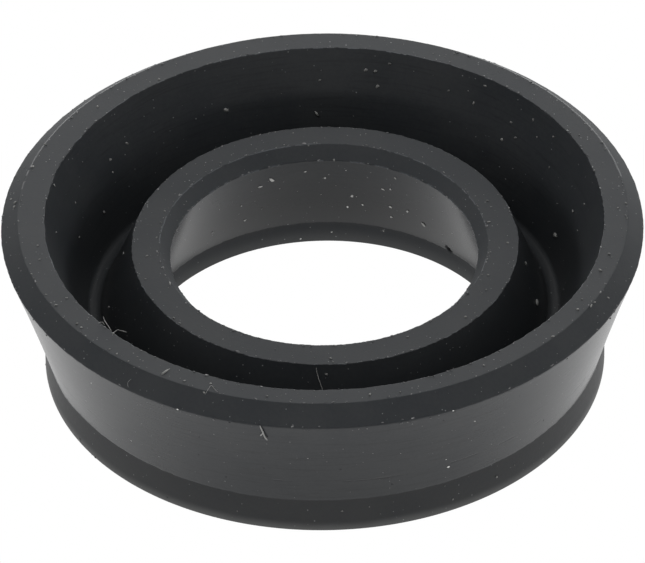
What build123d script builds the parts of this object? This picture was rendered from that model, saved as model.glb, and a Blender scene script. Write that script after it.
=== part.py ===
from build123d import *
import os

os.makedirs("parts", exist_ok=True)

# U cup rod seal, millimetres, +Z up.
# Origin: centre of the flat heel face. The ring stands on its heel and its
# groove opens upwards, towards the pressure side.

# ---- driving sizes -------------------------------------------------------
rod_d = 18.0            # rod the inner lip wipes
bore_d = 28.0           # housing bore the outer lip presses on
rod_gap = 0.15          # radial play of the heel around the rod
housing_gap = 0.2       # radial play of the heel in the housing
height = 8.65           # heel face to the top of the outer lip
inner_lip_drop = 1.7    # the inner lip ends this far below the outer lip

outer_flare = 1.95      # outer lip edge stands out past the heel
inner_flare = 1.6       # inner lip edge stands in past the heel
outer_heel_h = 1.9      # straight part of the heel, housing side
inner_heel_h = 1.2      # straight part of the heel, rod side

outer_land_w = 1.2      # flat top of the outer lip
outer_bevel_w = 0.85    # trimmed bevel down to the outer sealing edge
outer_bevel_h = 0.7
inner_land_w = 1.45     # flat top of the inner lip
inner_bevel_w = 0.5     # trimmed bevel down to the inner sealing edge
inner_bevel_h = 0.65

floor_h = 3.05          # heel face to the groove floor
floor_w = 0.57          # groove floor between its two walls
floor_inset = 0.14      # the floor lies this far inwards of the middle of the heel
floor_round = 0.62      # rounding of each floor corner, as a share of the floor width
heel_edge_r = 0.1       # moulded rounding of the two heel edges
wall_foot_r = 0.3       # hollow rounding where the inner lip leaves the heel
sealing_edge_r = 0.1    # rounding of the two sealing edges

# ---- related sizes -------------------------------------------------------
heel_out_r = bore_d / 2 - housing_gap
heel_in_r = rod_d / 2 + rod_gap
floor_mid_r = (heel_out_r + heel_in_r) / 2 - floor_inset
floor_corner_r = floor_w * floor_round

outer_edge_r = heel_out_r + outer_flare
outer_bevel_top_r = outer_edge_r - outer_bevel_w
outer_land_in_r = outer_bevel_top_r - outer_land_w
outer_edge_z = height - outer_bevel_h

inner_top_z = height - inner_lip_drop
inner_edge_r = heel_in_r - inner_flare
inner_bevel_top_r = inner_edge_r + inner_bevel_w
inner_land_out_r = inner_bevel_top_r + inner_land_w
inner_edge_z = inner_top_z - inner_bevel_h

# ---- ring ----------------------------------------------------------------
with BuildPart() as seal:
    with BuildSketch(Plane.XZ) as section:
        with BuildLine():
            Polyline(
                (heel_in_r, 0),
                (heel_out_r, 0),
                (heel_out_r, outer_heel_h),
                (outer_edge_r, outer_edge_z),
                (outer_bevel_top_r, height),
                (outer_land_in_r, height),
                (floor_mid_r + floor_w / 2, floor_h),
                (floor_mid_r - floor_w / 2, floor_h),
                (inner_land_out_r, inner_top_z),
                (inner_bevel_top_r, inner_top_z),
                (inner_edge_r, inner_edge_z),
                (heel_in_r, inner_heel_h),
                close=True,
            )
        make_face()

        def corner(radius, z):
            """The corner of the section that stands at a radius and a height."""
            return section.vertices().sort_by_distance((radius, z))[0]

        # The groove floor is a trough: two arcs with a narrow flat between them.
        floor_corners = [corner(floor_mid_r + side * floor_w / 2, floor_h) for side in (1, -1)]
        fillet(floor_corners, radius=floor_corner_r)

        # Both heel edges leave the mould slightly rounded.
        fillet([corner(heel_in_r, 0), corner(heel_out_r, 0)], radius=heel_edge_r)

        # The inner lip leaves the heel through a soft hollow. The outer lip leaves it at a crease.
        fillet(corner(heel_in_r, inner_heel_h), radius=wall_foot_r)

        # The sealing edges are the outermost and the innermost line of the ring.
        sealing_edges = [corner(inner_edge_r, inner_edge_z), corner(outer_edge_r, outer_edge_z)]
        fillet(sealing_edges, radius=sealing_edge_r)
    revolve(axis=Axis.Z)

seal.part.label = "seal_ring"
export_step(seal.part, "parts/seal_ring.step")
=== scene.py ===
import math
import random

import bpy
import numpy as np
from mathutils import Matrix, Vector, noise


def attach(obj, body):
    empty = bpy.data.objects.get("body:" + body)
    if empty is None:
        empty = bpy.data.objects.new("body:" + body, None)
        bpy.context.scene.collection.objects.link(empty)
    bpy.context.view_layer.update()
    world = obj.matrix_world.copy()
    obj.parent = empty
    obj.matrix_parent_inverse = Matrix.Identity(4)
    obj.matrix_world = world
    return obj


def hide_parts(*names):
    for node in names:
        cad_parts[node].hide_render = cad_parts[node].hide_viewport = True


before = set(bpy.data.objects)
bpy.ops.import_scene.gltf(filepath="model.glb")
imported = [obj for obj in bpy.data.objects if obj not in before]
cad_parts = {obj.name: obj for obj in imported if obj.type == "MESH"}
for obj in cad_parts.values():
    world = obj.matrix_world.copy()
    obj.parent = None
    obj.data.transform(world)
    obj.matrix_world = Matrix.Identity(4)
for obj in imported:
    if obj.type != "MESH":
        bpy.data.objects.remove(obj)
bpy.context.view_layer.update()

# A black rubber rod seal of U section, standing on its heel with the groove and both lips upwards.
# Sizes are in millimetres until a mesh is made. Angles round the ring are in degrees: 0 is the right
# side (+X), 90 the back (+Y), 180 the left side and 270 the front.
MM = 0.001

# ------------------------------------------------------------------------------------------ section
height = 8.65
edge_r = 15.75
heel_out_r = 13.8
heel_in_r = 9.15
outer_heel_h = 1.9
inner_heel_h = 1.2
inner_lip_drop = 1.7
outer_land_r = (13.7, 14.9)
outer_bevel_h = 0.7
inner_land_r = (8.05, 9.5)
inner_edge_r = 7.55
inner_bevel_h = 0.65
floor_r = (11.05, 11.62)
floor_h = 3.05
inner_top = height - inner_lip_drop

# Walks the section: heel outwards, up the outer lip, down and up the groove, down through the bore.
# Each corner: name, radius, height, rounding, steps round it, and the stretch that leaves it.
CORNERS = (
    ("heel outer edge", heel_out_r, 0.0, 0.08, 4, "outer heel band"),
    ("outer foot", heel_out_r, outer_heel_h, 0.22, 4, "outer wall"),
    ("sealing edge", edge_r, height - outer_bevel_h, 0.10, 4, "outer bevel"),
    ("bevel top", outer_land_r[1], height, 0.13, 4, "outer land"),
    ("groove mouth", outer_land_r[0], height, 0.04, 3, "groove wall"),
    ("groove floor outer", floor_r[1], floor_h, 0.35, 6, "groove floor"),
    ("groove floor inner", floor_r[0], floor_h, 0.35, 6, "groove inner wall"),
    ("inner lip outer edge", inner_land_r[1], inner_top, 0.04, 3, "inner land"),
    ("inner bevel top", inner_land_r[0], inner_top, 0.05, 2, "inner bevel"),
    ("bore edge", inner_edge_r, inner_top - inner_bevel_h, 0.09, 3, "bore wall"),
    ("bore foot", heel_in_r, inner_heel_h, 0.22, 4, "bore heel band"),
    ("heel inner edge", heel_in_r, 0.0, 0.08, 4, "heel face"),
)
NAMES = [corner[0] for corner in CORNERS]
STRETCHES = [corner[5] for corner in CORNERS]
# Rows laid across a stretch, as shares of it from its first corner to its last.
# They leave out the ragged bites, which reach no further than the row next to an edge.
EXTRA_ROWS = {"outer wall": (0.025, 0.35, 0.7, 0.97), "outer land": (0.5,), "outer bevel": (0.12, 0.85),
              "groove wall": (0.025, 0.9), "groove inner wall": (0.1, 0.965), "inner bevel": (0.14, 0.84),
              "bore wall": (0.025, 0.4, 0.8, 0.86, 0.90, 0.93, 0.955, 0.98),
              "bore heel band": (0.06, 0.14)}
steps_round = 1200
# Swings in one turn of the ring: of the slow wander, of the two ragged bites and of the ticks along the
# glossy and the glint-painted edge arcs.
slow_swings = 9
bite_swings = (150, 420)
edge_arc_swings = 150
seed_step = 3.1         # from the noise of one edge to the next edge's


def round_noise(angles, turns, seed):
    """Smooth noise that closes on itself, about `turns` swings in one turn of the ring."""
    size = turns / (2 * math.pi)
    return np.array([
        noise.noise(Vector((size * math.cos(a), size * math.sin(a), seed))) for a in angles
    ])


# How far each edge strays from a true circle, in mm: off centre to the right, off centre to the back, and
# oval (wider to the sides). Then its slow wander and its ragged bites, which are drawn at random.
STRAY = {"groove mouth": (0.071, 0.03, 0.0), "bevel top": (0.0, 0.089, 0.066),
         "inner lip outer edge": (0.084, -0.03, 0.0), "inner bevel top": (0.025, 0.036, 0.0),
         "bore edge": (0.044, 0.0, 0.0)}
WANDER = {"groove mouth": 0.020, "bevel top": 0.012, "sealing edge": 0.020, "outer foot": 0.012,
          "inner lip outer edge": 0.015, "inner bevel top": 0.015, "bore edge": 0.015, "bore foot": 0.015}
RAGGED = {"groove mouth": 0.030, "bevel top": 0.010, "sealing edge": 0.013, "outer foot": 0.026,
          "inner lip outer edge": 0.034, "inner bevel top": 0.024, "bore edge": 0.026, "bore foot": 0.03}
# These edges stray up and down. The others stray inwards and outwards.
ALONG_WALL = ("outer foot", "bore foot")
# Where an edge bulges out from its circle: the edge, the middle of the bulge, its half width in
# degrees, and how far it stands out in mm.
SWELLS = (
    ("groove mouth", 338, 26, 0.09), ("sealing edge", 152, 55, 0.11), ("bevel top", 150, 40, 0.05),
    ("groove mouth", 71.6, 0.5, 0.05), ("groove mouth", 72.8, 0.4, 0.06), ("groove mouth", 74.9, 0.4, 0.05),
    ("groove mouth", 86.5, 0.6, 0.05), ("outer foot", 202, 9, -0.12),
)
# A swell narrower than this, in degrees, is a nick and counts among the ragged bites.
nick_half_width = 2
# How far the middle of a lip wall bows out from a straight line, in mm; below 0 it is hollow.
BOW = {"bore wall": 0.09, "outer wall": -0.06}
# The arcs of the trimmed edges that have a finish of their own: the trim edge is worn glossy, and the scuffed
# edge is painted paler, a painted highlight of glints. Each: its finish there, from one angle to another, and
# how whole
# the arc is: 2 is unbroken, 0 breaks it up by half.
EDGE_ARCS = {"bevel top": (("trim edge", 10, 62, 1.1), ("trim edge", 124, 170, 1.1)),
        "inner bevel top": (("painted glint edge", 8, 70, 0.2), ("painted glint edge", 90, 178, 0.3),
                            ("painted glint edge", 200, 350, -0.3)),
        "bore edge": (("painted glint edge", 15, 165, 0.2),),
        "inner lip outer edge": (("painted glint edge", 15, 165, -0.2), ("painted glint edge", 195, 355, -0.35)),
        "groove mouth": (("painted glint edge", 40, 160, -0.4), ("painted glint edge", 175, 350, -0.25))}
# A small tear where the bore wall leaves the heel.
tear_angle = 46.9
tear_height = 1.36
tear_half_width = 0.15
tear_half_height = 0.19
tear_deepest = 0.16
tear_slant = 0.35       # how far its top leans round the ring for each step up
tear_ripple = 0.25      # how uneven its rim is, as a share of its size
tear_waves = (5, 3)     # of that ripple, round the ring and up it
tear_rim = 1.25         # where its slopes run out, as a share of its size


def ring_place(angle, radius, z):
    """A place on the ring in metres, from its angle in degrees and its radius and height in mm."""
    turn = math.radians(angle)
    return (radius * math.cos(turn) * MM, radius * math.sin(turn) * MM, z * MM)


def corner_places(angles, bites=1.0):
    """Radius and height of every corner at each angle, with the trimming's small wander added. The ragged
    bites are added `bites` times over, so that 0 leaves them out."""
    places = np.empty((len(angles), len(CORNERS), 2))
    for i, (name, r, z, _, _, _) in enumerate(CORNERS):
        right, back, oval = STRAY.get(name, (0.0, 0.0, 0.0))
        shift = right * np.cos(angles) + back * np.sin(angles) + oval * np.cos(2 * angles)
        for edge, middle, half_width, rise in SWELLS:
            if edge == name:
                off = np.degrees(np.angle(np.exp(1j * (angles - math.radians(middle))))) / half_width
                swell = rise * np.cos(np.clip(off, -1, 1) * math.pi / 2) ** 2
                shift += swell * (bites if half_width < nick_half_width else 1)
        shift += WANDER.get(name, 0.0) * 2 * round_noise(angles, slow_swings, seed_step * i)
        for k, swings in enumerate(bite_swings):
            shift += RAGGED.get(name, 0.0) * bites * round_noise(angles, swings, seed_step * i + (k + 1))
        places[:, i, 0] = r
        places[:, i, 1] = z
        places[:, i, 1 if name in ALONG_WALL else 0] += shift
    return places


def bowed(stretch, share):
    """How far a bowed wall stands out at a share of its length, and its rise for one whole length."""
    most = BOW.get(stretch, 0.0)
    return most * 4 * share * (1 - share), most * 4 * (1 - 2 * share)


def unit(vectors):
    return vectors / np.linalg.norm(vectors, axis=-1)[..., None]


def rounded_corner(before, corner, after, rounding, steps):
    """The points of the arc that rounds a corner at each angle, and their outward normals."""
    back, ahead = unit(before - corner), unit(after - corner)
    half = np.arccos(np.clip((back * ahead).sum(1), -1, 1)) / 2
    centre = corner + unit(back + ahead) * (rounding / np.sin(half))[:, None]
    reach = (rounding / np.tan(half))[:, None]
    first = corner + back * reach - centre
    last = corner + ahead * reach - centre
    turn = back[:, 0] * ahead[:, 1] - back[:, 1] * ahead[:, 0]
    bulge = np.where(turn < 0, 1.0, -1.0)[:, None]
    start = np.arctan2(first[:, 1], first[:, 0])
    sweep = (np.arctan2(last[:, 1], last[:, 0]) - start + math.pi) % (2 * math.pi) - math.pi
    points, normals = [], []
    for k in range(steps + 1):
        a = start + sweep * k / steps
        out = np.stack([np.cos(a), np.sin(a)], 1)
        points.append(centre + out * rounding)
        normals.append(out * bulge)
    return points, normals


def section_points(places, calm):
    """Points (angle, point, r z), their outward normals, and for the strip that leaves each point the
    stretch and the rounded edge it belongs to. `calm` holds the corners without their ragged bites."""
    points, normals, owners = [], [], []
    for i, (name, _, _, rounding, steps, stretch) in enumerate(CORNERS):
        following = (i + 1) % len(CORNERS)
        before, corner, after = places[:, i - 1], places[:, i], places[:, following]
        arc, arc_normals = rounded_corner(before, corner, after, rounding, steps)
        points += arc
        normals += arc_normals
        for k in range(steps + 1):
            owners.append((STRETCHES[i - 1] if k < steps / 2 else stretch, name if k < steps else None))
        run = calm[:, following] - calm[:, i]
        length = np.linalg.norm(run, axis=1)[:, None]
        side = np.stack([-run[:, 1], run[:, 0]], 1) / length
        side *= np.sign((side * normals[-1]).sum(1))[:, None]
        for share in EXTRA_ROWS.get(stretch, ()):
            rise, slope = bowed(stretch, share)
            points.append(calm[:, i] + run * share + side * rise)
            normals.append(unit(side - run / length * (slope / length)))
            owners.append((stretch, None))
    return np.stack(points, 1), np.stack(normals, 1), owners


def tear_depth(angles, points):
    """How deep the tear in the bore bites at each point, in mm."""
    turned = np.angle(np.exp(1j * (angles - math.radians(tear_angle))))[:, None]
    across = turned * points[..., 0] / tear_half_width
    up = (points[..., 1] - tear_height) / tear_half_height
    ripple = tear_ripple * np.sin(across * tear_waves[0] + up * tear_waves[1])
    far = np.sqrt((across - up * tear_slant) ** 2 + up ** 2) + ripple
    bore_side = (points[..., 0] < heel_in_r + tear_deepest) & (points[..., 1] < inner_top)
    return np.where(bore_side, tear_deepest * np.clip(tear_rim - far, 0, 1), 0.0)


def finish_slots(angles, owners, kinds):
    """The number of the finish of each strip at each angle, with the glossy worn arcs and the arcs of painted
    glints along the rounded edges.
    """
    slots = np.tile([kinds.index(FINISH_OF[stretch]) for stretch, _ in owners], (len(angles), 1))
    for row, (_, edge) in enumerate(owners):
        for kind, start, end, whole in EDGE_ARCS.get(edge, ()):
            ticks = round_noise(angles, edge_arc_swings, NAMES.index(edge) + 0.5) * 2
            arc = (angles > math.radians(start)) & (angles < math.radians(end)) & (ticks + whole > 0)
            slots[arc, row] = kinds.index(kind)
    return slots


def ring_mesh(materials):
    """The whole ring as one closed skin, with exact normals so that its flat faces shade flat."""
    own_slopes_from = 0.02      # from this depth in mm the tear is shaded by its own slopes
    angles = np.arange(steps_round) * 2 * math.pi / steps_round
    points, flat_normals, owners = section_points(corner_places(angles), corner_places(angles, 0.0))
    rows = points.shape[1]
    cos, sin = np.cos(angles)[:, None], np.sin(angles)[:, None]
    place = np.stack([points[..., 0] * cos, points[..., 0] * sin, points[..., 1]], -1) * MM
    out, up = flat_normals[..., 0], flat_normals[..., 1]
    up_section = np.stack([-up * cos, -up * sin, out], -1)
    deep = tear_depth(angles, points)
    place[..., 0] += deep * cos * MM
    place[..., 1] += deep * sin * MM
    round_ring = np.roll(place, -1, 0) - np.roll(place, 1, 0)
    along_torn = unit(np.roll(place, -1, 1) - np.roll(place, 1, 1))
    torn = np.minimum(deep / own_slopes_from, 1.0)[..., None]
    normal = unit(np.cross(round_ring, up_section * (1 - torn) + along_torn * torn))
    index = np.arange(steps_round * rows).reshape(steps_round, rows)
    nxt = np.roll(index, -1, 0)
    quads = np.stack([index, nxt, np.roll(nxt, -1, 1), np.roll(index, -1, 1)], -1).reshape(-1, 4)
    mesh = bpy.data.meshes.new("seal ring skin")
    mesh.from_pydata(place.reshape(-1, 3).tolist(), [], quads.tolist())
    for material in materials.values():
        mesh.materials.append(material)
    slots = finish_slots(angles, owners, list(materials))
    mesh.polygons.foreach_set("material_index", slots.ravel().astype(np.int32))
    mesh.polygons.foreach_set("use_smooth", np.ones(len(quads), bool))
    mesh.update()
    mesh.normals_split_custom_set_from_vertices(normal.reshape(-1, 3).tolist())
    return mesh


# ------------------------------------------------------------------------------------------ finishes
class Value:
    """A number that varies over a surface. An expression written with it adds its Math nodes."""

    def __init__(self, finish, socket):
        self.finish = finish
        self.socket = socket

    def math(self, operation, *inputs):
        """Adds one Math node."""
        node = self.finish.node("ShaderNodeMath", {"operation": operation}, dict(enumerate(inputs)))
        return Value(self.finish, node.outputs[0])

    def __add__(self, other):
        return self.math("ADD", self, other)

    def __radd__(self, other):
        return self.math("ADD", other, self)

    def __sub__(self, other):
        return self.math("SUBTRACT", self, other)

    def __rsub__(self, other):
        return self.math("SUBTRACT", other, self)

    def __mul__(self, other):
        return self.math("MULTIPLY", self, other)

    def __rmul__(self, other):
        return self.math("MULTIPLY", other, self)

    def __truediv__(self, other):
        return self.math("DIVIDE", self, other)

    def __rtruediv__(self, other):
        return self.math("DIVIDE", other, self)

    def __lt__(self, other):
        return self.math("LESS_THAN", self, other)

    def __gt__(self, other):
        return self.math("GREATER_THAN", self, other)

    def __abs__(self):
        return self.math("ABSOLUTE", self)


class Finish:
    """One finish: a material, its nodes and its principled shader."""

    def __init__(self, name):
        self.material = bpy.data.materials.new(name)
        self.material.use_nodes = True
        self.tree = self.material.node_tree
        self.shader = self.tree.nodes["Principled BSDF"]
        self.place = self.node("ShaderNodeTexCoord").outputs["Object"]

    def feed(self, socket, value):
        """Links a value or an output into a socket, or sets the socket to a plain number or colour."""
        if isinstance(value, Value):
            self.tree.links.new(value.socket, socket)
        elif isinstance(value, bpy.types.NodeSocket):
            self.tree.links.new(value, socket)
        else:
            socket.default_value = value

    def node(self, kind, settings=None, sockets=None):
        """Adds a node: its settings first, then the values or links of its sockets, by name or number."""
        node = self.tree.nodes.new(kind)
        for name, value in (settings or {}).items():
            setattr(node, name, value)
        for name, value in (sockets or {}).items():
            self.feed(node.inputs[name], value)
        return node

    def stretched(self, round_scale, up_scale, shift):
        """The place on the ring, scaled one way round the axis and another way along it, and moved."""
        scaled = self.node("ShaderNodeVectorMath", {"operation": "MULTIPLY"},
                           {0: self.place, 1: (round_scale, round_scale, up_scale)})
        moved = self.node("ShaderNodeVectorMath", {"operation": "ADD"},
                          {0: scaled.outputs[0], 1: (shift, shift, shift)})
        return moved.outputs[0]

    def noise(self, round_scale, up_scale, shift, detail, roughness):
        """Cloudy noise from 0 to 1, with so many swings in a metre round the ring and up it."""
        node = self.node("ShaderNodeTexNoise", {"noise_dimensions": "3D"},
                         {"Vector": self.stretched(round_scale, up_scale, shift), "Scale": 1.0,
                          "Detail": detail, "Roughness": roughness})
        return Value(self, node.outputs["Fac"])

    def band(self, value, low, high, out_low=0.0, out_high=1.0):
        """Takes low..high smoothly to out_low..out_high and holds it there outside."""
        node = self.node("ShaderNodeMapRange", {"interpolation_type": "SMOOTHSTEP"},
                         {"Value": value, "From Min": low, "From Max": high,
                          "To Min": out_low, "To Max": out_high})
        return Value(self, node.outputs["Result"])

    def flecks(self, spacing, size, shift, share):
        """Scattered round flecks about `size` mm wide, as a mask. Each cell `spacing` mm wide has one
        fleck or none, and `share` is the share of cells that has one."""
        least, spread = 0.4, 0.8    # a fleck is from `least` to `least + spread` times the size
        core, rim = 0.6, 1.1        # and it fades from its core to its rim
        scale = 1 / (spacing * MM)
        cells = self.node("ShaderNodeTexVoronoi", {"feature": "F1"},
                          {"Vector": self.stretched(scale, scale, shift), "Scale": 1.0, "Randomness": 1.0})
        chance = self.node("ShaderNodeSeparateColor", None, {0: cells.outputs["Color"]})
        kept = Value(self, chance.outputs[0]) < share
        bigness = Value(self, chance.outputs[1]) * spread + least
        off_middle = Value(self, cells.outputs["Distance"]) * (spacing / size)
        return self.band(off_middle / bigness, core, rim, 1.0, 0.0) * kept

    def height(self):
        """How high a point lies above the heel face, in metres."""
        parts = self.node("ShaderNodeSeparateXYZ", None, {0: self.place})
        return Value(self, parts.outputs[2])

    def around(self, point, inner, outer):
        """A mask that is 1 around a point and fades to 0 between the two distances."""
        gap = self.node("ShaderNodeVectorMath", {"operation": "DISTANCE"}, {0: self.place, 1: point})
        return self.band(Value(self, gap.outputs["Value"]), inner, outer, 1.0, 0.0)

    def blend(self, mask, below, above):
        """The colour below where the mask is 0 and the colour above where it is 1."""
        node = self.node("ShaderNodeMix", {"data_type": "RGBA"}, {0: mask, 6: below, 7: above})
        return node.outputs[2]


rubber_dark = (0.0275, 0.0305, 0.0340)
rubber_pale = (0.0360, 0.0385, 0.0410)
dust_pale = (0.36, 0.37, 0.37, 1)
# Pale grey, for the painted glow low on the heel.
painted_glow_grey = (0.125, 0.127, 0.125, 1)
# Near black: the colour of the dark streaks and the scratch, and painted shade in the tear and the pits.
dark_marks_and_painted_shade = (0.004, 0.004, 0.005, 1)
# Black, the colour of painted shade.
unlit = (0.0, 0.0, 0.0, 1)
# The patterns in the rubber: swings in a metre round the ring and up it, a shift that keeps one pattern
# clear of the next, and the detail and roughness of its noise.
CLOUDS = (260, 260, 0.0, 4, 0.6)
PEBBLE = (5200, 5200, 7.0, 3, 0.6)
SCRATCHES = (110, 15000, 3.0, 2, 0.5)
STREAKS = (420, 9000, 11.0, 2, 0.5)
TICKS = (950, 6000, 23.0, 2, 0.55)
SCORED_BREAKS = (750, 0, 31.0, 3, 0.6)
SPECK_CLOUDS = (9000, 9000, 0.0, 2, 0.5)
# Between which values of the noise each mark fades in.
mottle_fade = (0.35, 0.65)
streak_fade = (0.5, 0.72)
tick_fade = (0.56, 0.74)
break_fade = (0.50, 0.62)
# Flecks of dust and pits: their spacing and size in mm, and a shift.
DUST_FLECKS = (0.16, 0.032, 2.0)
PITS = (0.62, 0.07, 5.0)
# How strongly the marks show in the colour (for the pits this is painted shade), and how high or deep they
# stand, in steps of the relief.
dust_cover, dust_rise = 0.5, 1.5
pit_shade, pit_fall = 0.45, 3.0
score_shade, score_fall = 0.42, 0.9
relief_step = 0.006 * MM
# How much of the pebble and of the scratches shows in the gloss.
pebble_gloss, scratch_gloss = 0.2, 0.25


def rubber(name, roughness, grain=0.4, drag=0.0, fleck_share=0.10, specular=0.25, tone=1.0,
           warm=0.0, foot=None, painted_heel_glow=None, torn=False, pits=0.0, dashes=0.0, scored=None, sheen=0.03,
           streaks=0.0):
    """Black rubber. `tone` is how pale it is, set face by face: partly the rubber's own tone and partly
    painted light and shade of that face; `warm` is how brown. In its relief, `grain` is the fine
    pebble, `drag` the fine scratches that run round the ring, `dashes` the short raised ticks, `pits` the
    share of pits, whose darker colour is painted shade, and `scored` the height of a broken scratch.
    `streaks` are dark lines in its colour and `sheen` the cloudiness of its gloss. `fleck_share` is the
    share of dust flecks; `painted_heel_glow` is painted light, a paler colour low on the heel where the
    bright
    table lies below it: how strong it is and how high it reaches; `foot` is painted shade: it darkens
    the rubber downwards from the first height to the second, by the third figure. `torn` is the wall
    that has the tear, whose hollow is painted near black as painted shade."""
    f = Finish(name)
    cloud = f.noise(*CLOUDS)
    fine = f.noise(*PEBBLE)
    scratch = f.noise(*SCRATCHES)
    streak = f.band(f.noise(*STREAKS), *streak_fade)
    tick = f.band(f.noise(*TICKS), *tick_fade)
    dust = f.flecks(*DUST_FLECKS, fleck_share)
    pit = f.flecks(*PITS, pits)
    tint = (1 + warm, 1.0, 1 - warm)
    dark = tuple(c * tone * t for c, t in zip(rubber_dark, tint)) + (1,)
    pale = tuple(c * tone * t for c, t in zip(rubber_pale, tint)) + (1,)
    colour = f.blend(f.band(cloud * 0.6 + fine * 0.4, *mottle_fade), dark, pale)
    # Painted shade: the colour darkens towards the bottom, where less light reaches deep in the groove and
    # bore and low on the outer wall.
    if foot:
        top, bottom, share = foot
        shade = f.band(f.height(), bottom * MM, top * MM, share, 0.0)
        colour = f.blend(shade, colour, unlit)
    # Painted light: the heel is painted paler towards the heel face, a glow of the bright table beneath it.
    if painted_heel_glow:
        glow_strength, reach = painted_heel_glow
        full_below, unevenness = 0.03 * MM, 0.3 * MM
        low = f.band(f.height() + (cloud - 0.5) * unevenness, full_below, reach * MM, 1.0, 0.0)
        colour = f.blend(low * glow_strength, colour, painted_glow_grey)
    colour = f.blend(dust * dust_cover, colour, dust_pale)
    # Painted shade: each pit is painted darker.
    colour = f.blend(pit * pit_shade, colour, dark_marks_and_painted_shade)
    if streaks:
        colour = f.blend(streak * streaks, colour, dark_marks_and_painted_shade)
    gloss = ((fine - 0.5) * (grain * pebble_gloss) + (cloud - 0.5) * sheen
             + (scratch - 0.5) * drag * scratch_gloss + roughness)
    relief = fine * grain + scratch * drag + tick * dashes + dust * dust_rise - pit * pit_fall
    if scored:
        core, rim = 0.02 * MM, 0.07 * MM
        off_line = abs(f.height() - scored * MM)
        line = f.band(off_line, core, rim, 1.0, 0.0) * f.band(f.noise(*SCORED_BREAKS), *break_fade)
        relief = relief - line * score_fall
        colour = f.blend(line * score_shade, colour, dark_marks_and_painted_shade)
    # Painted shade: the hollow of the tear is painted near black, and made rougher.
    if torn:
        core, rim, rougher = 0.12 * MM, 0.24 * MM, 0.4
        just_off_wall = 0.02
        tear_shade = f.around(ring_place(tear_angle, heel_in_r - just_off_wall, tear_height), core, rim)
        colour = f.blend(tear_shade, colour, dark_marks_and_painted_shade)
        gloss = gloss + tear_shade * rougher
    f.feed(f.shader.inputs["Base Color"], colour)
    f.feed(f.shader.inputs["Roughness"], gloss)
    f.shader.inputs["Specular IOR Level"].default_value = specular
    bump = f.node("ShaderNodeBump", None, {"Strength": 1.0, "Distance": relief_step, "Height": relief})
    f.feed(f.shader.inputs["Normal"], bump.outputs[0])
    return f.material


# Which finish each stretch of the section has.
FINISH_OF = {
    "outer heel band": "outer heel", "heel face": "bore heel", "bore heel band": "bore heel",
    "outer bevel": "outer bevel", "outer land": "trimmed", "inner land": "inner lip",
    "inner bevel": "inner bevel", "outer wall": "outer wall", "bore wall": "bore wall",
    "groove wall": "groove", "groove floor": "groove floor", "groove inner wall": "groove inner",
}
# Each face's tone is set on its own: partly the rubber's own finish and partly painted light and shade of
# that face, as on the dark groove floor at the bottom of the groove.
finishes = {
    "outer heel": rubber("rubber outer heel", 0.52, grain=0.8, specular=0.20, tone=0.76, warm=0.03,
                         painted_heel_glow=(0.66, 0.62)),
    "bore heel": rubber("rubber bore heel", 0.65, grain=0.8, specular=0.21, tone=0.92, painted_heel_glow=(0.38, 0.95)),
    "trimmed": rubber("rubber trimmed lip", 0.65, grain=0.8),
    "inner lip": rubber("rubber inner lip", 0.65, grain=0.8, specular=0.22, tone=0.93),
    "outer bevel": rubber("rubber outer bevel", 0.65, grain=0.8, specular=0.17, tone=0.95),
    "inner bevel": rubber("rubber inner bevel", 0.62, grain=0.8, specular=0.27, tone=1.10),
    "trim edge": rubber("rubber trim edge", 0.45, grain=0.3, specular=0.40, fleck_share=0.02),
    # The scuffed edge's high tone paints glints of light along the rounded edges: a painted highlight. Its
    # dust flecks are real.
    "painted glint edge": rubber("rubber painted glint edge", 0.6, grain=0.8, specular=0.30, tone=2.3, fleck_share=0.3),
    "outer wall": rubber("rubber outer wall", 0.235, grain=0.10, drag=0.12, specular=0.185, tone=0.84,
                         foot=(7.5, 1.9, 0.12), pits=0.16, dashes=0.30, scored=3.41, streaks=0.28),
    "bore wall": rubber("rubber bore wall", 0.24, grain=0.06, drag=0.04, specular=0.18, torn=True,
                        foot=(6.6, 2.4, 0.62), streaks=0.14),
    "groove": rubber("rubber groove wall", 0.31, grain=0.05, drag=0.06, fleck_share=0.05,
                     foot=(7.2, 3.4, 0.36), streaks=0.20),
    "groove inner": rubber("rubber inner groove wall", 0.31, grain=0.05, drag=0.06, tone=0.86,
                           foot=(7.2, 3.6, 0.50)),
    "groove floor": rubber("rubber groove floor", 0.48, grain=0.10, drag=0.08, specular=0.12, tone=0.6),
}
ring = bpy.data.objects.new("seal_ring_skin", ring_mesh(finishes))
bpy.context.scene.collection.objects.link(ring)
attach(ring, "root")
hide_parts("seal_ring")


# ------------------------------------------------------------------------------------------ dust and lint
# Each face that dust can lie on, and the corners where its share is 0 and where it is 1.
FACES = {
    "outer land": ("groove mouth", "bevel top"), "outer bevel": ("bevel top", "sealing edge"),
    "outer wall": ("sealing edge", "outer foot"), "outer heel": ("outer foot", "heel outer edge"),
    "groove wall": ("groove mouth", "groove floor outer"),
    "groove inner wall": ("inner lip outer edge", "groove floor inner"),
    "inner land": ("inner lip outer edge", "inner bevel top"),
    "inner bevel": ("inner bevel top", "bore edge"), "bore wall": ("bore edge", "bore foot"),
    "bore heel": ("bore foot", "heel inner edge"),
}


def on_face(face, angle, share):
    """A point on a face of the ring in mm, its outward normal and the direction down the section."""
    turn = math.radians(angle)
    first, last = (NAMES.index(name) for name in FACES[face])
    places = corner_places(np.array([turn]))[0]
    spot = places[first] + (places[last] - places[first]) * share
    run = places[last] - places[first]
    run /= np.linalg.norm(run)
    side = 1 if face.startswith("outer") or face == "groove inner wall" else -1
    normal = np.array((-run[1] * side, run[0] * side))
    spot = spot + normal * bowed(face, share)[0]
    c, s = math.cos(turn), math.sin(turn)
    return (Vector((spot[0] * c, spot[0] * s, spot[1])), Vector((normal[0] * c, normal[0] * s, normal[1])),
            Vector((run[0] * c, run[0] * s, run[1])))


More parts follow.
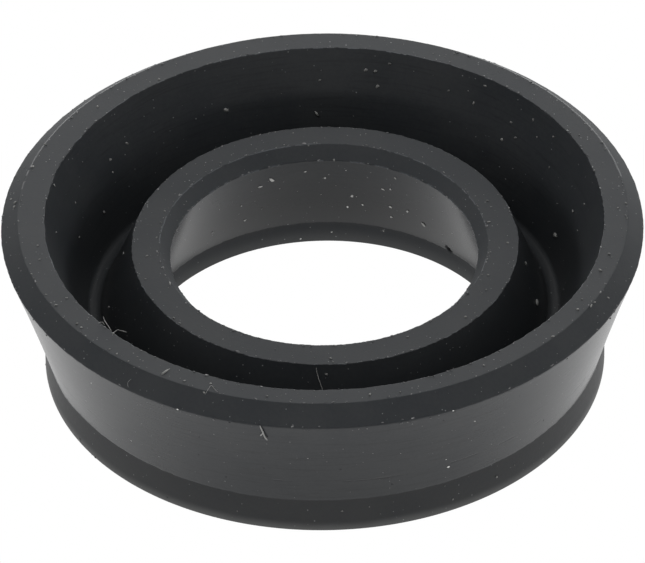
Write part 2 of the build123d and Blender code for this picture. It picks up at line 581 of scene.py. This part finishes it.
def ball():
    """A small ball of twenty faces: its corners and faces."""
    g = (1 + math.sqrt(5)) / 2
    corners = [Vector(p).normalized() for p in (
        (-1, g, 0), (1, g, 0), (-1, -g, 0), (1, -g, 0), (0, -1, g), (0, 1, g),
        (0, -1, -g), (0, 1, -g), (g, 0, -1), (g, 0, 1), (-g, 0, -1), (-g, 0, 1))]
    faces = [(0, 11, 5), (0, 5, 1), (0, 1, 7), (0, 7, 10), (0, 10, 11), (1, 5, 9), (5, 11, 4), (11, 10, 2),
             (10, 7, 6), (7, 1, 8), (3, 9, 4), (3, 4, 2), (3, 2, 6), (3, 6, 8), (3, 8, 9), (4, 9, 5),
             (2, 4, 11), (6, 2, 10), (8, 6, 7), (9, 8, 1)]
    return corners, faces


def loose_piece(name, points, polygons, material):
    """One piece of dirt that lies on the ring."""
    mesh = bpy.data.meshes.new(name)
    mesh.from_pydata(points, [], polygons)
    mesh.polygons.foreach_set("use_smooth", [True] * len(polygons))
    mesh.materials.append(material)
    piece = bpy.data.objects.new(name, mesh)
    bpy.context.scene.collection.objects.link(piece)
    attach(piece, "root")


def grains(name, spots, material, thickness):
    """One piece of many loose grains, `thickness` times as thick as they are wide.
    Each spot: face, angle, share, length, width, turn in degrees."""
    lumpiness = 0.28
    corners, faces = ball()
    points, polygons = [], []
    for face, angle, share, length, width, turn in spots:
        middle, normal, down = on_face(face, angle, share)
        level = normal.cross(down)
        along = level * math.cos(math.radians(turn)) + down * math.sin(math.radians(turn))
        across = normal.cross(along)
        start = len(points)
        for corner in corners:
            rough = 1 + rng.uniform(-lumpiness, lumpiness)
            point = middle + normal * (width * thickness / 4)       # a quarter of it sinks in
            point += (along * corner.x * length + across * corner.y * width
                      + normal * corner.z * width * thickness) * (rough / 2)
            points.append(point * MM)
        polygons += [tuple(start + k for k in face_corners) for face_corners in faces]
    loose_piece(name, points, polygons, material)


def fibres(name, strands, material):
    """Lint: each strand is a thickness in mm and the points (angle, radius, height) it runs through."""
    around = 6              # points round a strand
    steps = 5               # from one of its knots to the next
    tip = 0.35              # how thick its very end is, as a share of its thickness
    tip_growth = 0.4        # and how much thicker it is at each point further in
    unevenness = (0.8, 1.2)
    lean = Vector((0.3, 0.2, 1.0))      # a direction that no strand follows
    points, polygons = [], []
    for thickness, places in strands:
        knots = [Vector(ring_place(*place)) for place in places]
        line = []
        for i in range(len(knots) - 1):
            before, a, b = knots[max(i - 1, 0)], knots[i], knots[i + 1]
            after = knots[min(i + 2, len(knots) - 1)]
            for k in range(steps):
                t = k / steps
                line.append(0.5 * (2 * a + (b - before) * t + (2 * before - 5 * a + 4 * b - after) * t * t
                                   + (3 * a - before - 3 * b + after) * t ** 3))
        line.append(knots[-1])
        start = len(points)
        for i, point in enumerate(line):
            ahead = (line[min(i + 1, len(line) - 1)] - line[max(i - 1, 0)]).normalized()
            side = ahead.cross(lean).normalized()
            over = ahead.cross(side)
            taper = min(1.0, tip + tip_growth * min(i, len(line) - 1 - i))
            size = thickness / 2 * MM * taper * rng.uniform(*unevenness)
            for k in range(around):
                a = 2 * math.pi * k / around
                points.append(point + (side * math.cos(a) + over * math.sin(a)) * size)
        for i in range(len(line) - 1):
            for k in range(around):
                here, nxt = start + i * around + k, start + i * around + (k + 1) % around
                polygons.append((here, nxt, nxt + around, here + around))
        polygons.append(tuple(start + k for k in reversed(range(around))))
        end = start + (len(line) - 1) * around
        polygons.append(tuple(end + k for k in range(around)))
    loose_piece(name, points, polygons, material)


def speck_finish(name, dark, pale, roughness):
    """Dull dust or crumbs: each grain is somewhere between the dark and the pale colour."""
    f = Finish(name)
    each = f.node("ShaderNodeNewGeometry").outputs["Random Per Island"]
    cloud = f.noise(*SPECK_CLOUDS)
    f.feed(f.shader.inputs["Base Color"], f.blend(Value(f, each) * 0.8 + cloud * 0.2, dark, pale))
    f.feed(f.shader.inputs["Roughness"], cloud * 0.2 + roughness)
    f.shader.inputs["Specular IOR Level"].default_value = 0.2
    return f.material


# The larger grains on each face: angle, share of the way across the face, and size in mm.
LARGER_GRAINS = {
    "outer land": (
        (163, 0.93, 0.13), (155.7, 0.97, 0.11), (140.3, 0.53, 0.10), (125.3, 0.16, 0.10),
        (188, 0.34, 0.09), (192.5, 0.43, 0.08), (193.5, 0.84, 0.06), (196.5, 0.94, 0.07),
        (203.5, 0.87, 0.07), (206.2, 0.27, 0.09), (207.2, 0.82, 0.11), (214.3, 0.74, 0.12),
        (215.8, 0.75, 0.09), (221.3, 0.03, 0.09), (224.5, 0.82, 0.08), (226.5, 0.84, 0.08),
        (229.7, 0.90, 0.09), (242, 0.75, 0.09), (247, 0.48, 0.08), (248, 0.64, 0.06),
        (258.7, 0.64, 0.09), (278.6, 0.54, 0.12), (284.5, 0.67, 0.07), (302.7, 0.46, 0.08),
        (318.5, 0.93, 0.10), (328, 0.68, 0.10), (331.2, 0.46, 0.08), (341, 0.38, 0.14),
        (346.5, 0.46, 0.12), (2.6, 0.93, 0.10), (1.3, 0.57, 0.07), (358, 0.95, 0.07), (14, 0.02, 0.10),
        (19.9, 0.89, 0.07), (26.2, 0.32, 0.07)),
    "outer bevel": (
        (171.5, 0.56, 0.10), (173.6, 0.20, 0.15), (174.8, 0.25, 0.11), (162, 0.5, 0.06),
        (166, 0.5, 0.06), (246.8, 0.08, 0.08), (335, 0.4, 0.09)),
    "outer wall": (
        (243, 0.01, 0.09), (228, 0.79, 0.08), (250.8, 0.49, 0.06), (293, 0.01, 0.08),
        (298.3, 0.27, 0.07), (294.7, 0.80, 0.11), (293.8, 0.69, 0.06), (266.5, 0.43, 0.05),
        (310.5, 0.11, 0.06), (221.8, 0.24, 0.08)),
    "outer heel": (
        (208.9, 0.88, 0.13), (273, 0.36, 0.08), (278.5, 0.29, 0.06), (294.5, 0.11, 0.06),
        (296.3, 0.63, 0.09), (306.8, 0.48, 0.11), (311.5, 0.40, 0.06), (251.5, 0.60, 0.05)),
    "groove wall": (
        (15.2, 0.45, 0.10), (9.5, 0.49, 0.07), (11.8, 0.28, 0.07), (29.8, 0.38, 0.07),
        (31.7, 0.13, 0.10), (39, 0.13, 0.08), (36.5, 0.24, 0.06), (44.6, 0.26, 0.09),
        (42.3, 0.36, 0.12), (45.8, 0.44, 0.11), (53.2, 0.07, 0.09), (55, 0.25, 0.08),
        (18.4, 0.78, 0.16), (61.4, 0.22, 0.09), (75.2, 0.10, 0.10), (78.2, 0.18, 0.11),
        (80.3, 0.18, 0.12), (77.5, 0.31, 0.13), (90.2, 0.28, 0.08), (111.7, 0.43, 0.13),
        (138.2, 0.34, 0.11), (144.2, 0.37, 0.10), (144.8, 0.48, 0.07), (161.2, 0.38, 0.08),
        (152.3, 0.70, 0.14), (165.8, 0.61, 0.08), (176.3, 0.25, 0.08), (166.7, 0.04, 0.11)),
    "groove inner wall": (
        (270.3, 0.12, 0.08), (350.9, 0.66, 0.18), (356.3, 0.24, 0.09), (174.8, 0.28, 0.08),
        (185.9, 0.74, 0.07)),
    "inner land": (
        (21.8, 0.55, 0.10), (18.5, 0.57, 0.06), (10.7, 0.86, 0.10), (43, 0.92, 0.08), (103, 0.88, 0.07),
        (127, 0.82, 0.07), (134, 0.85, 0.06), (160, 0.83, 0.08), (166.5, 0.87, 0.08), (175, 0.88, 0.07),
        (185, 0.52, 0.10), (196.5, 0.22, 0.08), (218, 0.10, 0.10), (221, 0.08, 0.10),
        (271.8, 0.30, 0.11), (272.4, 0.12, 0.07), (298.4, 0.70, 0.09), (319, 0.30, 0.10),
        (334, 0.50, 0.10), (341.5, 0.73, 0.09), (359, 0.35, 0.10), (354, 0.90, 0.07)),
    "inner bevel": ((94.7, 0.08, 0.08), (85.5, 0.95, 0.09)),
    "bore wall": (
        (62, 0.11, 0.08), (68, 0.34, 0.10), (65, 0.31, 0.07), (60, 0.59, 0.08), (54.7, 0.72, 0.14),
        (66.5, 0.60, 0.11), (67, 0.77, 0.08), (79.8, 0.53, 0.10), (81.7, 0.72, 0.08),
        (76.5, 0.65, 0.06), (89, 0.26, 0.09), (96.2, 0.15, 0.08), (119.5, 0.47, 0.08),
        (116.5, 0.74, 0.09), (129.5, 0.72, 0.06)),
    "bore heel": ((70.8, 0.15, 0.09), (87.3, 0.50, 0.06), (97, 0.80, 0.08)),
}
# Long flakes: face, angle, share, length, width and turn.
FLAKES = (
    ("bore wall", 108.7, 0.20, 0.46, 0.15, 55), ("bore wall", 112.8, 0.26, 0.28, 0.12, 5),
    ("groove wall", 91, 0.57, 0.42, 0.13, 52), ("outer land", 237.4, 0.60, 0.66, 0.14, 99),
    ("outer bevel", 330.3, 0.03, 0.30, 0.09, -10), ("outer bevel", 331.6, 0.05, 0.20, 0.10, 20),
    ("inner land", 201.6, 0.94, 0.30, 0.10, 15),
)
# Fine dust: face, how many grains, and their smallest and largest size in mm.
FINE_DUST = (
    ("outer land", 150, 0.025, 0.055), ("outer bevel", 60, 0.025, 0.050),
    ("outer wall", 34, 0.025, 0.050), ("outer heel", 14, 0.025, 0.050),
    ("groove wall", 80, 0.030, 0.055), ("groove inner wall", 40, 0.030, 0.060),
    ("inner land", 90, 0.025, 0.055), ("inner bevel", 16, 0.025, 0.045),
    ("bore wall", 36, 0.025, 0.050),
)
# Crumbs that hang on along the trimmed edges: face, share, spread of the share and how many.
CRUMBS = (
    ("outer land", 0.04, 0.03, 110), ("outer land", 0.93, 0.04, 110), ("inner land", 0.04, 0.03, 90),
    ("inner land", 0.95, 0.04, 120), ("outer bevel", 0.94, 0.02, 60), ("outer wall", 0.03, 0.01, 60),
    ("outer heel", 0.90, 0.08, 14), ("inner bevel", 0.95, 0.04, 60),
)
# Dust gathers in larger clumps where nothing brushes past.
DUST_GROWTH = {"groove wall": 1.65, "groove inner wall": 2.0, "bore wall": 1.8, "bore heel": 1.5}
usual_growth = 1.4
# Lengths and widths, from the least to the most, as shares of the size of a grain.
grain_length, grain_width = (1.0, 1.4), (0.7, 0.95)
dust_length = (1.0, 2.0)
crumb_length = (1.2, 2.6)
dust_reach = (0.04, 0.96)       # the shares of a face between which fine dust lies
crumb_sizes = (0.035, 0.095)
crumb_turn = 25                 # a crumb lies along its edge, give or take this much
rng = random.Random(41)


def dust_size(smallest, largest):
    """A random size between the two, and more often a small one."""
    return smallest + (largest - smallest) * rng.random() ** 2


dust_spots = list(FLAKES)
for face, listed in LARGER_GRAINS.items():
    for angle, share, size in listed:
        size *= DUST_GROWTH.get(face, usual_growth)
        dust_spots.append((face, angle, share, size * rng.uniform(*grain_length),
                           size * rng.uniform(*grain_width), rng.uniform(0, 180)))
for face, count, smallest, largest in FINE_DUST:
    for _ in range(count):
        size = dust_size(smallest, largest)
        dust_spots.append((face, rng.uniform(0, 360), rng.uniform(*dust_reach),
                           size * rng.uniform(*dust_length), size, rng.uniform(0, 180)))
crumb_spots = []
for face, share, spread, count in CRUMBS:
    for _ in range(count):
        size = dust_size(*crumb_sizes)
        crumb_spots.append((face, rng.uniform(0, 360), share + rng.uniform(-spread, spread),
                            size * rng.uniform(*crumb_length), size, rng.uniform(-crumb_turn, crumb_turn)))

# Dust lies in flat white flakes on the walls that face down, and in grey grains elsewhere. The white flakes
# are real dust made paler to paint in the light that these shaded walls lack: partly painted light.
SHADED = ("bore wall", "bore heel", "outer wall")
grain_thickness = 0.5
flake_thickness = 0.15
grey_dust = speck_finish("grey dust", (0.09, 0.092, 0.09, 1), (0.27, 0.27, 0.26, 1), 0.7)
painted_lit_dust = speck_finish("painted lit dust", (0.30, 0.30, 0.29, 1), (0.80, 0.80, 0.78, 1), 0.7)
grains("grey_dust", [spot for spot in dust_spots if spot[0] not in SHADED], grey_dust, grain_thickness)
grains("painted_lit_dust", [spot for spot in dust_spots if spot[0] in SHADED], painted_lit_dust, flake_thickness)
rubber_crumbs = speck_finish("rubber crumbs", (0.05, 0.052, 0.055, 1), (0.26, 0.26, 0.26, 1), 0.6)
grains("trim_crumbs", crumb_spots, rubber_crumbs, grain_thickness)
pale_lint = speck_finish("pale lint", (0.24, 0.24, 0.235, 1), (0.38, 0.38, 0.37, 1), 0.8)
fibres("lint_fibres", (
    (0.025, ((215.9, 13.25, 8.72), (217.3, 13.42, 8.78), (218.7, 13.51, 8.77), (219.8, 13.57, 8.74),
             (220.6, 13.62, 8.68))),
    (0.026, ((216.8, 13.72, 8.68), (217.4, 13.56, 8.75), (218.3, 13.60, 8.71))),
    (0.027, ((221.8, 13.80, 8.67), (221.5, 13.63, 8.72), (221.5, 13.41, 8.77), (221.9, 13.33, 8.75),
             (223.2, 13.14, 8.70))),
    (0.080, ((258.4, 15.84, 7.98), (258.8, 15.66, 7.42), (259.0, 15.56, 7.10), (259.4, 15.46, 6.82))),
    (0.060, ((258.2, 15.56, 7.12), (258.6, 15.63, 7.30), (258.8, 15.66, 7.42))),
    (0.015, ((247.2, 15.00, 8.62), (247.3, 14.66, 8.68), (247.4, 14.34, 8.70), (248.3, 14.52, 8.69),
             (249.3, 14.70, 8.68))),
    (0.016, ((232.3, 15.37, 8.30), (232.1, 15.55, 8.16), (232.6, 15.69, 8.04))),
    (0.030, ((267.4, 9.62, 6.82), (267.8, 9.76, 6.46), (268.5, 9.90, 6.12), (269.3, 10.05, 5.70))),
), pale_lint)


# ------------------------------------------------------------------------------------------ studio
def plain_emission(name, colour, strength):
    """A material that only gives light."""
    f = Finish(name)
    f.tree.nodes.remove(f.shader)
    glow = f.node("ShaderNodeEmission", None, {"Color": colour, "Strength": strength})
    f.feed(f.tree.nodes["Material Output"].inputs["Surface"], glow.outputs[0])
    return f.material


def light_table():
    """A pale floor lit evenly from below, so that nothing standing on it throws a shadow."""
    half = 1.5
    top = -0.02 * MM        # just clear of the heel face
    mesh = bpy.data.meshes.new("light table top")
    mesh.from_pydata([(-half, -half, top), (half, -half, top), (half, half, top), (-half, half, top)],
                     [], [(0, 1, 2, 3)])
    mesh.materials.append(plain_emission("pale table", (1, 1, 1, 1), 1.0))
    floor = bpy.data.objects.new("floor", mesh)
    bpy.context.scene.collection.objects.link(floor)


def softbox(name, azimuth, elevation, distance, width, tall, radiance):
    """A soft panel that faces the ring, `azimuth` degrees round it and `elevation` above the floor."""
    light = bpy.data.lights.new(name, "AREA")
    light.shape = "RECTANGLE"
    light.size = width
    light.size_y = tall
    light.energy = radiance * math.pi * width * tall
    a, e = math.radians(azimuth), math.radians(elevation)
    out = Vector((math.cos(a) * math.cos(e), math.sin(a) * math.cos(e), math.sin(e)))
    panel = bpy.data.objects.new(name, light)
    panel.location = out * distance
    panel.rotation_euler = out.to_track_quat("Z", "Y").to_euler()
    panel.visible_camera = False
    bpy.context.scene.collection.objects.link(panel)


light_table()
# Name, azimuth, elevation, distance, width, height and radiance.
PANELS = (
    ("top panel", 90, 89.9, 1.0, 0.70, 0.70, 2.37),
    ("back panel", 90, 7, 1.0, 0.70, 0.26, 6.37),
    ("back left panel", 135, 7, 1.0, 0.70, 0.26, 1.5),
    ("back right panel", 45, 7, 1.0, 0.70, 0.26, 3.71),
    ("left panel", 180, 22, 1.0, 0.70, 0.26, 3.46),
    ("right low panel", 0, 7, 1.0, 0.70, 0.26, 1.02),
    ("right panel", 0, 22, 1.0, 0.70, 0.26, 3.07),
    ("right high panel", 0, 58, 1.0, 0.60, 0.26, 0.76),
    ("front panel", 270, 7, 1.0, 0.70, 0.26, 1.1),
    ("front left low panel", 229, 6, 1.0, 0.70, 0.26, 0.7),
    ("front right low panel", 311, 6, 1.0, 0.70, 0.26, 0.8),
    ("front left high panel", 225, 58, 1.0, 0.60, 0.26, 2.82),
    ("front right high panel", 315, 58, 1.0, 0.60, 0.26, 1.47),
    ("near back panel", 90, 35, 0.11, 0.12, 0.06, 2.39),
)
for panel in PANELS:
    softbox(*panel)

world = bpy.data.worlds.new("studio")
world.use_nodes = True
world.node_tree.nodes["Background"].inputs["Color"].default_value = (1, 1, 1, 1)
world.node_tree.nodes["Background"].inputs["Strength"].default_value = 0.0
bpy.context.scene.world = world
bpy.context.scene.view_settings.view_transform = "Standard"


# ------------------------------------------------------------------------------------------ camera
def camera():
    """A long lens that looks down at the front of the ring, held a little out of level."""
    elevation = math.radians(38.02)
    tilt = math.radians(0.89)
    distance = 0.685
    focal_length = 776.9
    aim = Vector((0, 0, 4.11 * MM))
    ahead = Vector((0, math.cos(elevation), -math.sin(elevation)))
    up = Vector((0, math.sin(elevation), math.cos(elevation)))
    right = Vector((1, 0, 0))
    tilted_right = right * math.cos(tilt) - up * math.sin(tilt)
    tilted_up = right * math.sin(tilt) + up * math.cos(tilt)
    lens = bpy.data.cameras.new("camera")
    lens.sensor_width = 36
    lens.lens = focal_length
    lens.shift_x = -0.0022
    lens.shift_y = 0.0124
    lens.clip_end = 10
    stand = bpy.data.objects.new("camera", lens)
    stand.matrix_world = Matrix.Translation(aim - ahead * distance) @ Matrix(
        (tilted_right, tilted_up, -ahead)).transposed().to_4x4()
    bpy.context.scene.collection.objects.link(stand)
    bpy.context.scene.camera = stand


camera()
